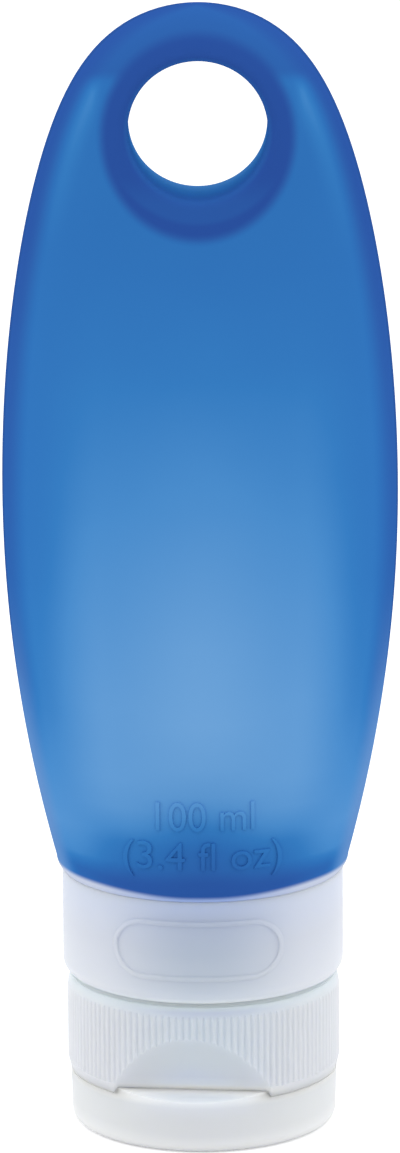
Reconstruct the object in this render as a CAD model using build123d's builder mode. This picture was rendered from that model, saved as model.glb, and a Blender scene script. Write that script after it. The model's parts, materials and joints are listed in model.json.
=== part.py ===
"""A soft travel bottle that stands on its screw cap, in millimetres, +Z up and -Y to the front.

The origin lies on the surface it stands on, under the middle of the cap.
"""

import os
from math import cos, pi, radians, sin, sqrt

from build123d import *

os.makedirs("parts", exist_ok=True)

# Shared clearances and overruns
running_clearance = 0.2
loose_clearance = 0.1
seam_gap = 0.1
weld_overlap = 0.4
overrun = 2.0

# Bottle body
bottle_height = 158.0
belly_half_width = 27.27
belly_height = 90.0
shoulder_radius = 20.35
shoulder_round = 1.6
shoulder_inset = 0.75
full_half_depth = 21.2
full_depth_height = 48.0
web_half_depth = 6.0
web_drop = 20.0
tip_width_share = 0.2
tip_width_power = 10
tip_depth_power = 5
body_wall = 2.0
body_section_count = 14
tip_flat = 0.1

# Hang hole and the solid ring round it
hang_hole_radius = 9.5
hang_hole_drop = 16.8
hang_ring_radius = 14.0
hang_lip_round = 1.2
horn_drop = 10.8

# Silicone neck
neck_skin_radius = 17.0
neck_skin_bore = 14.7
neck_flare_height = 4.0
grip_ridge_depth = 0.4
grip_ridge_width = 0.7
grip_ridge_spacing = 3.6

# Collar
collar_height = 15.0
collar_radius = 19.58
collar_top_round = 0.4
collar_edge_drop = 1.7
collar_edge_inset = 1.05
collar_lip_thickness = 1.6
collar_snap_depth = 0.45
collar_snap_height = 0.7
panel_width = 23.5
panel_height = 8.5
panel_line_width = 0.6
panel_relief = 0.13
panel_turn = -2.4
panel_rise = 0.25

# Threaded neck and its sleeve
neck_root_radius = 13.0
neck_bore = 11.2
boss_radius = 15.05
flange_radius = 16.9
flange_thickness = 1.5
sleeve_wall = 2.0
sleeve_length = 10.8
sleeve_lead = 0.4
thread_pitch = 3.2
thread_depth = 1.0
thread_root_width = 1.3
thread_crest_width = 0.7
thread_root_bite = 0.15
thread_turns = 2.0
cap_thread_turns = 1.5
thread_lead_in = 1.8

# Screw cap
cap_height = 13.6
cap_radius = 19.03
cap_turn = -6.0
cap_step_height = 1.5
cap_step_inset = 0.38
cap_shoulder_drop = 2.3
cap_shoulder_inset = 0.5
cap_groove_gap = 0.6
cap_lip_thickness = 0.7
skirt_wall = 1.4
thread_wall = 1.4
thread_wall_drop = 0.3
deck_thickness = 1.8
stiffener_count = 12
stiffener_thickness = 0.9
stiffener_drop = 3.0
rib_count = 124
rib_depth = 0.18
rib_groove_width = 0.66
rib_top_drop = 1.3

# Thumb notch
notch_depth = 3.8
notch_height = 8.9
notch_hollow = 0.35
notch_wall = 1.2
notch_half_width = 15.0

# Nozzle, slit valve and its retainer
nozzle_bore = 4.8
nozzle_wall = 1.2
nozzle_length = 2.4
housing_bore = 7.6
housing_wall = 1.3
housing_height = 3.5
snap_groove_depth = 0.25
snap_groove_height = 0.6
valve_flange_thickness = 1.1
valve_sleeve_wall = 0.7
valve_disc_thickness = 0.6
valve_drop = 1.5
valve_dish = 0.4
slit_length = 5.2
slit_width = 0.12
retainer_bore = 4.4
retainer_height = 1.6

# Sealing washer
gasket_thickness = 1.1
gasket_gap = 0.05
gasket_inset = 0.1

# Flip lid
lid_height = 7.5
lid_base_radius = 18.46
lid_rim_radius = 18.65
lid_edge_round = 1.4
lid_wall = 1.4
lid_floor = 1.7
lid_inner_round = 1.0
ledge_thickness = 1.6
ledge_rise = 1.0
ledge_gap = 0.05
plug_wall = 1.2
plug_engagement = 1.8
plug_lead = 0.4

# Living hinge
hinge_width = 13.0
hinge_stand_off = 0.4
hinge_land_height = 4.0
film_thickness = 0.3
film_gap = 0.4
film_width = 5.0
film_spacing = 7.4

# Heights worked out down from the bottle's top, and up from the lid through the stack
web_height = bottle_height - web_drop
hang_hole_height = bottle_height - hang_hole_drop
horn_height = bottle_height - horn_drop
cap_bottom = lid_height + seam_gap
deck_top = cap_bottom + deck_thickness
neck_end = deck_top + gasket_thickness + 2 * gasket_gap
cap_top = cap_bottom + cap_height
collar_bottom = cap_top + cap_groove_gap
cap_lip_top = collar_bottom - seam_gap
flange_bottom = collar_bottom + collar_lip_thickness
flange_top = flange_bottom + flange_thickness
shoulder_height = collar_bottom + collar_height
heel_height = shoulder_height + shoulder_round
snap_radius = boss_radius + collar_snap_depth
sleeve_radius = neck_skin_bore - loose_clearance
sleeve_bore = sleeve_radius - sleeve_wall
sleeve_top = flange_top + sleeve_length
thread_radius = neck_root_radius + thread_depth
cap_thread_root = thread_radius + running_clearance
cap_inner_radius = cap_thread_root + thread_wall
cap_bore = cap_radius - skirt_wall
housing_radius = housing_bore + housing_wall
plug_radius = nozzle_bore - running_clearance
hinge_face = cap_radius + hinge_stand_off
hinge_height = lid_height + seam_gap / 2
snap_middle = deck_top + valve_flange_thickness + retainer_height / 2

# The cap's own frame, turned to where its thread stops, and the panel's
cap_frame = Plane(
    origin=(0, 0, 0), x_dir=(cos(radians(cap_turn)), sin(radians(cap_turn)), 0), z_dir=(0, 0, 1)
)
cap_side = Plane(origin=(0, 0, 0), x_dir=cap_frame.y_dir, z_dir=cap_frame.x_dir)
cap_back = Plane(origin=(0, 0, 0), x_dir=-cap_frame.x_dir, z_dir=cap_frame.y_dir)
panel_front = Plane(
    origin=(0, 0, 0), x_dir=(cos(radians(panel_turn)), sin(radians(panel_turn)), 0),
    z_dir=(sin(radians(panel_turn)), -cos(radians(panel_turn)), 0),
)


def body_half_width(height):
    """The front outline: a shallow arc up to the belly, then a blunt half ellipse."""
    if height < belly_height:
        fall = (belly_height - height) / (belly_height - heel_height)
        return belly_half_width - (belly_half_width - shoulder_radius) * fall**2
    rise = (height - belly_height) / (bottle_height - belly_height)
    blunt = (1 - tip_width_share) * rise**2 + tip_width_share * rise**tip_width_power
    return belly_half_width * sqrt(1 - blunt)


def body_half_depth(height):
    """The side outline: full above the collar, drawn flat to the web round the hang hole."""
    if height < full_depth_height:
        fall = (full_depth_height - height) / (full_depth_height - heel_height)
        return full_half_depth - (full_half_depth - shoulder_radius) * fall**2
    if height < web_height:
        way = (height - full_depth_height) / (web_height - full_depth_height)
        return web_half_depth + (full_half_depth - web_half_depth) * (1 + cos(pi * way)) / 2
    rise = (height - web_height) / (bottle_height - web_height)
    return web_half_depth * sqrt(1 - rise**tip_depth_power)


def inside(outline, height):
    """An outline drawn in by the wall, measured square to the surface."""
    step = body_wall / 4
    slope = (outline(height + step) - outline(height - step)) / (2 * step)
    return outline(height) - body_wall * sqrt(1 + slope**2)


def oval(height, half_width, half_depth):
    with BuildSketch(Plane.XY.offset(height)) as section:
        Ellipse(half_width, half_depth)
    return section.sketch.face()


def rising(low, high, count):
    """Heights that lie closer together towards the top."""
    return [high - (high - low) * (1 - step / count) ** 2 for step in range(count)]


def grip_heights():
    """The middles of the two grip ridges, spaced about the middle of the sleeve."""
    middle = (flange_top + sleeve_top) / 2
    return [middle - grip_ridge_spacing / 2, middle + grip_ridge_spacing / 2]


def thread_ridge(radius, outward, bottom, turns):
    """One ridge of a thread, rooted just inside the wall at radius."""
    bite, crest = -thread_root_bite * outward, thread_depth * outward
    with BuildPart() as ridge:
        with BuildLine() as path:
            Helix(thread_pitch, thread_pitch * turns, radius, center=(0, 0, bottom))
        start = Plane(origin=path.line @ 0, x_dir=(1, 0, 0), z_dir=path.line % 0)
        with BuildSketch(start):
            with BuildLine():
                Polyline(
                    (bite, -thread_root_width / 2), (crest, -thread_crest_width / 2),
                    (crest, thread_crest_width / 2), (bite, thread_root_width / 2), close=True,
                )
            make_face()
        sweep(path=path.line, is_frenet=True)
    return ridge.part


def notch_curve(inset):
    """Foot, middle and head of the notch's hollow sloping face, moved inwards by inset."""
    foot = (notch_foot[0] + notch_lean * (notch_low - notch_foot[1]) + inset, notch_low)
    head = (notch_foot[0] + notch_lean * (notch_high - notch_foot[1]) + inset, notch_high)
    middle = ((foot[0] + head[0]) / 2 + notch_hollow, (foot[1] + head[1]) / 2)
    return foot, middle, head


# Bottle body: the outer skin, the cavity, the hang hole and the neck
outer_ovals = [
    oval(height, body_half_width(height), body_half_depth(height))
    for height in [*rising(heel_height, bottle_height, body_section_count), bottle_height - tip_flat]
]
cavity_base = shoulder_height + neck_flare_height
cavity_ovals = [
    oval(height, inside(body_half_width, height), inside(body_half_depth, height))
    for height in [*rising(cavity_base, horn_height, body_section_count), horn_height]
]
flare_ovals = [oval(shoulder_height, neck_skin_bore, neck_skin_bore), cavity_ovals[0]]

with BuildPart() as cavity:
    loft(sections=cavity_ovals)
    with Locations(Plane.XZ):
        with Locations((0, hang_hole_height)):
            Cylinder(hang_ring_radius, 2 * full_half_depth, mode=Mode.SUBTRACT)
    loft(sections=flare_ovals, ruled=True)
    with BuildSketch(Plane.XY.offset(flange_top - overrun)):
        Circle(neck_skin_bore)
    extrude(amount=shoulder_height - flange_top + overrun)

with BuildPart() as bottle_body:
    loft(sections=outer_ovals)
    with BuildSketch(Plane.XZ):
        with BuildLine():
            Polyline(
                (shoulder_radius, heel_height), (0, heel_height), (0, shoulder_height),
                (shoulder_radius - shoulder_inset, shoulder_height),
            )
            TangentArc(
                (shoulder_radius, heel_height), (shoulder_radius - shoulder_inset, shoulder_height),
                tangent=(0, -1),
            )
        make_face()
    revolve(axis=Axis.Z)
    with BuildSketch(Plane.XY.offset(flange_top)):
        Circle(neck_skin_radius)
    extrude(amount=shoulder_height - flange_top)
    add(cavity.part, mode=Mode.SUBTRACT)
    with Locations(Plane.XZ):
        with Locations((0, hang_hole_height)):
            Cylinder(hang_hole_radius, 2 * full_half_depth, mode=Mode.SUBTRACT)
    lips = bottle_body.edges(Select.LAST).filter_by(GeomType.LINE, reverse=True)
    fillet(lips, hang_lip_round)
    for middle in grip_heights():
        with BuildSketch(Plane.XY.offset(middle - grip_ridge_width / 2)):
            Circle(neck_skin_bore + loose_clearance)
            Circle(neck_skin_bore - grip_ridge_depth, mode=Mode.SUBTRACT)
        extrude(amount=grip_ridge_width)
bottle_body.part.label = "bottle_body"
export_step(bottle_body.part, "parts/bottle_body.step")

# Neck insert: threaded neck, snap boss, flange and the sleeve that the silicone is stretched over
with BuildPart() as neck_insert:
    with BuildSketch(Plane.XZ):
        with BuildLine():
            Polyline(
                (neck_bore, neck_end), (neck_root_radius, neck_end),
                (neck_root_radius, collar_bottom + loose_clearance),
                (boss_radius, collar_bottom + loose_clearance), (boss_radius, flange_bottom),
                (flange_radius, flange_bottom), (flange_radius, flange_top),
                (sleeve_radius, flange_top), (sleeve_radius, sleeve_top - sleeve_lead),
                (sleeve_radius - sleeve_lead, sleeve_top), (sleeve_bore, sleeve_top),
                (sleeve_bore, flange_top), (neck_bore, flange_bottom), close=True,
            )
        make_face()
    revolve(axis=Axis.Z)
    with BuildSketch(Plane.XZ):
        with Locations((snap_radius, collar_bottom + loose_clearance)):
            Rectangle(
                snap_radius - neck_root_radius, collar_snap_height - 2 * loose_clearance,
                align=(Align.MAX, Align.MIN),
            )
    revolve(axis=Axis.Z)
    for middle in grip_heights():
        with BuildSketch(Plane.XY.offset(middle - grip_ridge_width / 2 - loose_clearance)):
            Circle(sleeve_radius + overrun)
            Circle(neck_skin_bore - grip_ridge_depth - loose_clearance, mode=Mode.SUBTRACT)
        extrude(amount=grip_ridge_width + 2 * loose_clearance, mode=Mode.SUBTRACT)
    add(thread_ridge(neck_root_radius, 1, neck_end + thread_lead_in, thread_turns))
neck_insert.part.label = "neck_insert"
export_step(neck_insert.part, "parts/neck_insert.step")

# Collar that clamps the silicone neck on the sleeve, with a bare raised outline on its front
collar_bore = neck_skin_radius + loose_clearance
snap_groove_bore = snap_radius + loose_clearance
panel_middle = collar_bottom + collar_height / 2 + panel_rise
with BuildPart() as panel_outline:
    with BuildSketch(panel_front):
        with Locations((0, panel_middle)):
            SlotOverall(panel_width, panel_height)
            SlotOverall(
                panel_width - 2 * panel_line_width, panel_height - 2 * panel_line_width,
                mode=Mode.SUBTRACT,
            )
    extrude(amount=collar_radius + overrun)
    with BuildSketch(Plane.XY.offset(collar_bottom)):
        Circle(collar_radius + panel_relief)
        Circle(collar_radius - panel_relief, mode=Mode.SUBTRACT)
    extrude(amount=collar_height, mode=Mode.INTERSECT)

with BuildPart() as neck_collar:
    with BuildSketch(Plane.XZ):
        with BuildLine():
            Polyline(
                (collar_radius - collar_edge_inset, collar_bottom),
                (snap_groove_bore, collar_bottom),
                (snap_groove_bore, collar_bottom + collar_snap_height),
                (boss_radius + loose_clearance, collar_bottom + collar_snap_height),
                (boss_radius + loose_clearance, flange_bottom), (collar_bore, flange_bottom),
                (collar_bore, shoulder_height), (collar_radius - collar_top_round, shoulder_height),
            )
            RadiusArc(
                (collar_radius - collar_top_round, shoulder_height),
                (collar_radius, shoulder_height - collar_top_round), collar_top_round,
            )
            Line(
                (collar_radius, shoulder_height - collar_top_round),
                (collar_radius, collar_bottom + collar_edge_drop),
            )
            TangentArc(
                (collar_radius, collar_bottom + collar_edge_drop),
                (collar_radius - collar_edge_inset, collar_bottom), tangent=(0, -1),
            )
        make_face()
    revolve(axis=Axis.Z)
    add(panel_outline.part)
neck_collar.part.label = "neck_collar"
export_step(neck_collar.part, "parts/neck_collar.step")

# Sealing washer between the neck's end and the cap's deck
with BuildPart() as neck_gasket:
    with BuildSketch(Plane.XY.offset(deck_top + gasket_gap)):
        Circle(neck_root_radius - gasket_inset)
        Circle(neck_bore + gasket_inset, mode=Mode.SUBTRACT)
    extrude(amount=gasket_thickness)
neck_gasket.part.label = "neck_gasket"
export_step(neck_gasket.part, "parts/neck_gasket.step")

# Screw cap: ribbed skirt, deck with its nozzle, threaded wall, valve housing and thumb notch
notch_foot = (-(cap_radius - notch_depth), cap_bottom)
notch_head = (-cap_radius, cap_bottom + notch_height)
notch_lean = (notch_head[0] - notch_foot[0]) / (notch_head[1] - notch_foot[1])
notch_low, notch_high = cap_bottom - overrun, cap_bottom + notch_height + overrun
with BuildPart() as notch_cutter:
    with BuildSketch(cap_side):
        foot, middle, head = notch_curve(0)
        with BuildLine():
            ThreePointArc(foot, middle, head)
            Polyline(head, (foot[0] - cap_radius, head[1]), (foot[0] - cap_radius, foot[1]), foot)
        make_face()
    extrude(amount=notch_half_width, both=True)

with BuildPart() as notch_backing:
    with BuildSketch(cap_side):
        foot, middle, head = notch_curve(0)
        back_foot, back_middle, back_head = notch_curve(notch_wall)
        with BuildLine():
            ThreePointArc(foot, middle, head)
            Line(head, back_head)
            ThreePointArc(back_head, back_middle, back_foot)
            Line(back_foot, foot)
        make_face()
    extrude(amount=notch_half_width, both=True)
    with BuildSketch(Plane.XY.offset(deck_top - weld_overlap)):
        Circle(cap_bore + skirt_wall / 2)
        Circle(cap_inner_radius - thread_wall / 2, mode=Mode.SUBTRACT)
    extrude(amount=cap_top - deck_top - skirt_wall, mode=Mode.INTERSECT)

with BuildPart() as screw_cap:
    with BuildSketch(Plane.XZ):
        with BuildLine():
            Polyline(
                (cap_radius - cap_shoulder_inset, cap_top),
                (cap_bore + cap_lip_thickness, cap_top),
                (cap_bore + cap_lip_thickness, cap_lip_top), (cap_bore, cap_lip_top),
                (cap_bore, deck_top), (cap_inner_radius, deck_top),
                (cap_inner_radius, cap_top - thread_wall_drop),
                (cap_thread_root, cap_top - thread_wall_drop), (cap_thread_root, deck_top),
                (housing_radius, deck_top), (housing_radius, deck_top + housing_height),
                (housing_bore, deck_top + housing_height), (housing_bore, deck_top),
                (nozzle_bore, deck_top), (nozzle_bore, cap_bottom - nozzle_length),
                (nozzle_bore + nozzle_wall, cap_bottom - nozzle_length),
                (nozzle_bore + nozzle_wall, cap_bottom), (cap_radius - cap_step_inset, cap_bottom),
                (cap_radius, cap_bottom + cap_step_height), (cap_radius, cap_top - cap_shoulder_drop),
            )
            TangentArc(
                (cap_radius, cap_top - cap_shoulder_drop),
                (cap_radius - cap_shoulder_inset, cap_top), tangent=(0, 1),
            )
        make_face()
    revolve(axis=Axis.Z)
    with BuildSketch(cap_frame.offset(deck_top)):
        with PolarLocations((cap_inner_radius + cap_bore) / 2, stiffener_count):
            Rectangle(cap_bore - cap_inner_radius + skirt_wall / 2, stiffener_thickness)
    extrude(amount=cap_top - deck_top - stiffener_drop)
    add(notch_backing.part)
    add(thread_ridge(cap_thread_root, -1, neck_end + thread_lead_in + thread_pitch / 2, cap_thread_turns))
    with BuildSketch(Plane.XY.offset(cap_bottom + cap_step_height)):
        with PolarLocations(cap_radius, rib_count):
            Polygon(
                (-rib_depth, 0), (rib_depth, rib_groove_width), (rib_depth, -rib_groove_width),
                align=None,
            )
    extrude(amount=cap_height - cap_step_height - rib_top_drop, mode=Mode.SUBTRACT)
    with BuildSketch(Plane.XY.offset(snap_middle - snap_groove_height / 2 - loose_clearance)):
        Circle(housing_bore + snap_groove_depth + loose_clearance)
        Circle(housing_bore - loose_clearance, mode=Mode.SUBTRACT)
    extrude(amount=snap_groove_height + 2 * loose_clearance, mode=Mode.SUBTRACT)
    with BuildSketch(cap_back.offset(cap_bore + loose_clearance)):
        with Locations((0, hinge_height + film_gap / 2)):
            Rectangle(hinge_width, hinge_land_height, align=(Align.CENTER, Align.MIN))
    extrude(amount=hinge_face - cap_bore - loose_clearance)
    add(notch_cutter.part, mode=Mode.SUBTRACT)
screw_cap.part.label = "screw_cap"
export_step(screw_cap.part, "parts/screw_cap.step")

# Slit valve: a clamped flange, a short sleeve and a dished disc with a crossed slit
valve_flange_top = deck_top + valve_flange_thickness
valve_bottom = deck_top - valve_drop
with BuildPart() as slit_valve:
    with BuildSketch(Plane.XZ):
        with BuildLine():
            Polyline(
                (0, valve_bottom + valve_dish + valve_disc_thickness), (0, valve_bottom + valve_dish),
            )
            TangentArc(
                (0, valve_bottom + valve_dish), (plug_radius, valve_bottom), tangent=(1, 0)
            )
            Polyline(
                (plug_radius, valve_bottom), (plug_radius, deck_top),
                (housing_bore - loose_clearance, deck_top),
                (housing_bore - loose_clearance, valve_flange_top),
                (plug_radius - valve_sleeve_wall, valve_flange_top),
                (plug_radius - valve_sleeve_wall, valve_bottom + valve_dish + valve_disc_thickness),
                (0, valve_bottom + valve_dish + valve_disc_thickness),
            )
        make_face()
    revolve(axis=Axis.Z)
    with BuildSketch(cap_frame.offset(valve_bottom - loose_clearance)):
        Rectangle(slit_length, slit_width)
        Rectangle(slit_width, slit_length)
    extrude(amount=valve_disc_thickness + valve_dish + 2 * loose_clearance, mode=Mode.SUBTRACT)
slit_valve.part.label = "slit_valve"
export_step(slit_valve.part, "parts/slit_valve.step")

# Retainer that snaps into the housing over the valve's flange
with BuildPart() as valve_retainer:
    with BuildSketch(Plane.XY.offset(valve_flange_top)):
        Circle(housing_bore - loose_clearance)
        Circle(retainer_bore, mode=Mode.SUBTRACT)
    extrude(amount=retainer_height)
    with BuildSketch(Plane.XY.offset(snap_middle - snap_groove_height / 2)):
        Circle(housing_bore + snap_groove_depth)
        Circle(retainer_bore, mode=Mode.SUBTRACT)
    extrude(amount=snap_groove_height)
valve_retainer.part.label = "valve_retainer"
export_step(valve_retainer.part, "parts/valve_retainer.step")

# Flip lid: a shallow cup with a thumb ledge, a sealing plug and the lower hinge land
lid_bore = lid_rim_radius - lid_wall
plug_top = cap_bottom - nozzle_length + plug_engagement
with BuildPart() as ledge_reach:
    with BuildSketch(Plane.XY.offset(lid_height - ledge_thickness)):
        Circle(lid_bore + lid_wall / 2)
    extrude(amount=ledge_thickness)
    with BuildSketch(Plane.XY.offset(lid_height)):
        Circle(lid_rim_radius)
    extrude(amount=ledge_rise)

with BuildPart() as ledge:
    with BuildSketch(cap_side):
        Polygon(
            (notch_foot[0] + notch_hollow, lid_height - ledge_thickness),
            (notch_foot[0] + notch_hollow, lid_height + ledge_rise),
            (notch_foot[0], lid_height + ledge_rise),
            (-lid_rim_radius, lid_height), (-lid_rim_radius, lid_height - ledge_thickness),
            align=None,
        )
    extrude(amount=notch_half_width, both=True)
    add(ledge_reach.part, mode=Mode.INTERSECT)
    add(notch_cutter.part.moved(Location(cap_side.x_dir * -ledge_gap)), mode=Mode.INTERSECT)

with BuildPart() as flip_lid:
    with BuildSketch(Plane.XZ):
        with BuildLine():
            Polyline(
                (lid_base_radius - lid_edge_round, 0), (0, 0), (0, lid_floor),
                (lid_bore - lid_inner_round, lid_floor),
            )
            TangentArc(
                (lid_bore - lid_inner_round, lid_floor), (lid_bore, lid_floor + lid_inner_round),
                tangent=(1, 0),
            )
            Polyline(
                (lid_bore, lid_floor + lid_inner_round), (lid_bore, lid_height),
                (lid_rim_radius, lid_height), (lid_base_radius, lid_edge_round),
            )
            RadiusArc(
                (lid_base_radius, lid_edge_round), (lid_base_radius - lid_edge_round, 0), lid_edge_round
            )
        make_face()
    revolve(axis=Axis.Z)
    with BuildSketch(Plane.XZ):
        with BuildLine():
            Polyline(
                (plug_radius - plug_wall, lid_floor - weld_overlap),
                (plug_radius, lid_floor - weld_overlap), (plug_radius, plug_top - plug_lead),
                (plug_radius - plug_lead, plug_top), (plug_radius - plug_wall, plug_top), close=True,
            )
        make_face()
    revolve(axis=Axis.Z)
    add(ledge.part)
    with BuildSketch(cap_back.offset(lid_bore + loose_clearance)):
        with Locations((0, hinge_height - film_gap / 2)):
            Rectangle(hinge_width, hinge_land_height, align=(Align.CENTER, Align.MAX))
    extrude(amount=hinge_face - lid_bore - loose_clearance)
flip_lid.part.label = "flip_lid"
export_step(flip_lid.part, "parts/flip_lid.step")

# Living hinge: two thin films that join the lid's land to the cap's
with BuildPart() as hinge_film:
    with BuildSketch(cap_back.offset(hinge_face - film_thickness)):
        with Locations((0, hinge_height)):
            with GridLocations(film_spacing, 0, 2, 1):
                Rectangle(film_width, film_gap)
    extrude(amount=film_thickness)
hinge_film.part.label = "hinge_film"
export_step(hinge_film.part, "parts/hinge_film.step")
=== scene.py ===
"""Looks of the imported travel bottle: soft blue body, white collar, ribbed screw cap and flip lid.

Lengths are in metres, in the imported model's frame: +Z up along the bottle and -Y to the front.
"""

import json
from math import asin, atan2, cos, hypot, pi, radians, sin, sqrt

import bmesh
import bpy
from bpy.props import (
    FloatProperty, FloatVectorProperty, IntProperty, PointerProperty, StringProperty,
)
from mathutils import Matrix, Vector


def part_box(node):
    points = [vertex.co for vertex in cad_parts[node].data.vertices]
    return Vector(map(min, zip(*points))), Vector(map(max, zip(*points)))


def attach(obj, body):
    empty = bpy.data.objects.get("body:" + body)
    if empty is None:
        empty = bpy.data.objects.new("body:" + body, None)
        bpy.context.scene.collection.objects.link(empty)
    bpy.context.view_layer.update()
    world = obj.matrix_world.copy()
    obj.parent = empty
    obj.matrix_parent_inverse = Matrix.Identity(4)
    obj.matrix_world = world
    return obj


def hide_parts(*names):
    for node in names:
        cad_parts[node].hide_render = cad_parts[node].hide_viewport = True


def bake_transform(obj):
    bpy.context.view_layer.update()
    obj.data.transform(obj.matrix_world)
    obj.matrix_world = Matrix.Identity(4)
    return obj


bl_info = {
    "name": "Travel bottle looks",
    "version": (1, 0, 0),
    "blender": (4, 5, 0),
    "location": "View3D > Sidebar > Bottle",
    "description": "Models the soft body and finishes every piece of the packed travel bottle",
    "category": "Object",
}

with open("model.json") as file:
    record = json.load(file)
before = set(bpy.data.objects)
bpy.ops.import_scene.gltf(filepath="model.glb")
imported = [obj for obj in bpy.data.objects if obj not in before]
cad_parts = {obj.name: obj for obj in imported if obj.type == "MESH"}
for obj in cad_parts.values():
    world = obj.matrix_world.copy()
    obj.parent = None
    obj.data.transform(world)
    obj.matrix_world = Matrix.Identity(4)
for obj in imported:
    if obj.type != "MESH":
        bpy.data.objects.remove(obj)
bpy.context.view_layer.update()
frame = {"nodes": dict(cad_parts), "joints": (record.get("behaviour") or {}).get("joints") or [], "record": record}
body_low, body_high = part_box("bottle_body")
collar_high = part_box("neck_collar")[1]
film_low, film_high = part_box("hinge_film")
lid_joint = next(joint for joint in frame["joints"] if joint["name"] == "lid_flip")
hang_hole = next(mount for mount in frame["record"]["mounts"] if mount["name"] == "hang_hole")
MILLIMETRE = 0.001
HOLE_CENTRE = Vector(hang_hole["pos_m"])
HOLE_RADIUS = hang_hole["dims"]["r_mm"] * MILLIMETRE

# The body's far end: the blunt share of its curve, how blunt that is, and the flat that closes it.
TIP_SHARE = 0.2
TIP_POWER = 10
TIP_FLAT = 0.0001
BODY_TOP = body_high.z + TIP_FLAT
WEB_POWER = 5

# Rings, corners and cuts of the soft body's mesh.
SHOULDER_STEPS = 6
LOWER_STEPS = 30
UPPER_STEPS = 44
CAVITY_STEPS = 40
LIP_STEPS = 6
HOLE_WALL_CUTS = 6
HOLE_SEGMENTS = 96
RING_SEGMENTS = 64
SMOOTH_ANGLE = radians(40)

# Tests that pick out parts of a mesh: the hole's wall by radius and tilt, and upright edges.
WALL_REACH = 1.001
WALL_TILT = 0.5
UPRIGHT_RISE = 0.0001

# The raised figures: corners of their curves, cuts for the wrap, and their rounded edges.
LETTER_RESOLUTION = 6
LETTER_MERGE = 0.00001
LETTER_CUTS = 2
LETTER_ROUND_SHARE = 0.6
LETTER_ROUND_STEPS = 2
LETTER_ROUND_ANGLE = radians(50)

# Rows of height and shade, from 0 where the silicone is deepest in colour to 1 where it is palest. The shades are
# partly the walls' thickness and partly painted light coming through the hollow body, palest low down where the
# body is deep.
CENTRE_SHADES = (
    (0.0395, 0.09), (0.0415, 0.23), (0.044, 0.29), (0.048, 0.49), (0.052, 0.78), (0.056, 0.92),
    (0.062, 1.0), (0.072, 0.92), (0.090, 0.63), (0.108, 0.46), (0.122, 0.39), (0.1478, 0.36),
    (0.1492, 0.20),
)
HALF_WAY_SHADES = (
    (0.039, 0.10), (0.042, 0.37), (0.045, 0.45), (0.050, 0.78), (0.054, 0.87), (0.064, 0.85),
    (0.090, 0.58), (0.110, 0.43), (0.122, 0.39), (0.1478, 0.36), (0.1492, 0.20),
)
FLANK_SHADES = (
    (0.0395, 0.25), (0.042, 0.58), (0.046, 0.70), (0.052, 0.62), (0.062, 0.50), (0.080, 0.42),
    (0.105, 0.39), (0.1478, 0.37), (0.1492, 0.20),
)
RIM_SHADES = (
    (0.041, 0.55), (0.046, 0.72), (0.056, 0.48), (0.066, 0.24), (0.080, 0.20), (0.105, 0.14),
    (0.128, 0.07),
)
STREAK_SHADES = ((0.124, 0.0), (0.136, 0.07), (0.1468, 0.17), (0.1490, 0.0))
RING_SHADE = 0.02
UNDER_HOLE_SHADE = 0.11
# Painted light on the hang hole's wall: its shade at the front and at the back.
HOLE_WALL_PAINTED_SHADES = (0.18, 0.60)

# Shade at which each of the silicone's colours stands alone.
COLOUR_PLACES = (
    ("deepest", 0.0), ("deep", 0.17), ("middle", 0.36), ("clear", 0.47), ("light", 0.60),
    ("pale", 1.0),
)

# Where one look gives way to the next: where that starts, and where it is complete. Shares are of
# the half width, an inset is measured in from the outline, an aside from the middle plane, and a
# radius from the ring's or the hole's own.
HALF_WAY_BY_SHARE = (0.0, 0.5)
FLANK_BY_SHARE = (0.5, 0.87)
RIM_BY_INSET = (0.0038, 0.0006)
STREAK_BY_INSET = (0.0062, 0.0036)
PAINTED_LOW_LIGHT_BY_INSET = (0.0030, 0.0003)
PAINTED_EDGE_SHADE_BY_INSET = (0.0004, 0.0002)
STREAK_BY_ASIDE = (0.0126, 0.0146)
SIDE_GLOW_BY_ASIDE = (0.002, 0.0165)
WHITE_SIDES_BY_ASIDE = (0.001, 0.0155)
PAINTED_LOW_LIGHT_BY_HEIGHT = (0.080, 0.048)
PAINTED_EDGE_SHADE_BY_HEIGHT = (0.060, 0.075)
RING_BY_RADIUS = (0.0010, -0.0009)
UNDER_HOLE_BY_RADIUS = (0.0036, 0.0026)
HOLE_WALL_BY_RADIUS = (0.0008, 0.0001)

# Where the shade under the hole starts and is complete, in hole radii under its centre, the ring's drop and
# sideways stretch, and how strong and how large the small effects are: the low edges' painted light, the outline's
# painted shade, the foot's painted glow and the clouding.
UNDER_HOLE_DROPS = (0.6, 1.1)
RING_DROP = 0.0008
RING_STRETCH = 1.07
PAINTED_LOW_LIGHT_STRENGTH = 0.8
PAINTED_EDGE_SHADE_STRENGTH = 0.7
FOOT_GLOW_HEIGHT = 0.0009
CLOUD_SCALE = 55.0
CLOUD_MEAN = 0.5
CLOUD_STRENGTH = 0.05
NOT_ZERO = 0.00001

# The white pieces' colours, with painted light and shade in them: rows of height, red, green and blue, at the
# front and at the sides.
# The collar is bluer at the front, where the silicone neck lies behind it, and paler at the sides with painted
# side light. Its lowest edge is a painted highlight over the groove, and along its top it takes painted blue light
# from the silicone above.
COLLAR_FRONT = (
    (0.0217, 236, 243, 255), (0.0222, 230, 238, 249), (0.0227, 206, 215, 227),
    (0.0245, 199, 208, 220), (0.029, 187, 198, 214), (0.034, 182, 193, 214),
    (0.0364, 188, 202, 234),
)
COLLAR_SIDES = (
    (0.0217, 228, 236, 248), (0.0226, 219, 223, 231), (0.030, 209, 214, 225),
    (0.036, 206, 214, 232),
)
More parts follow.
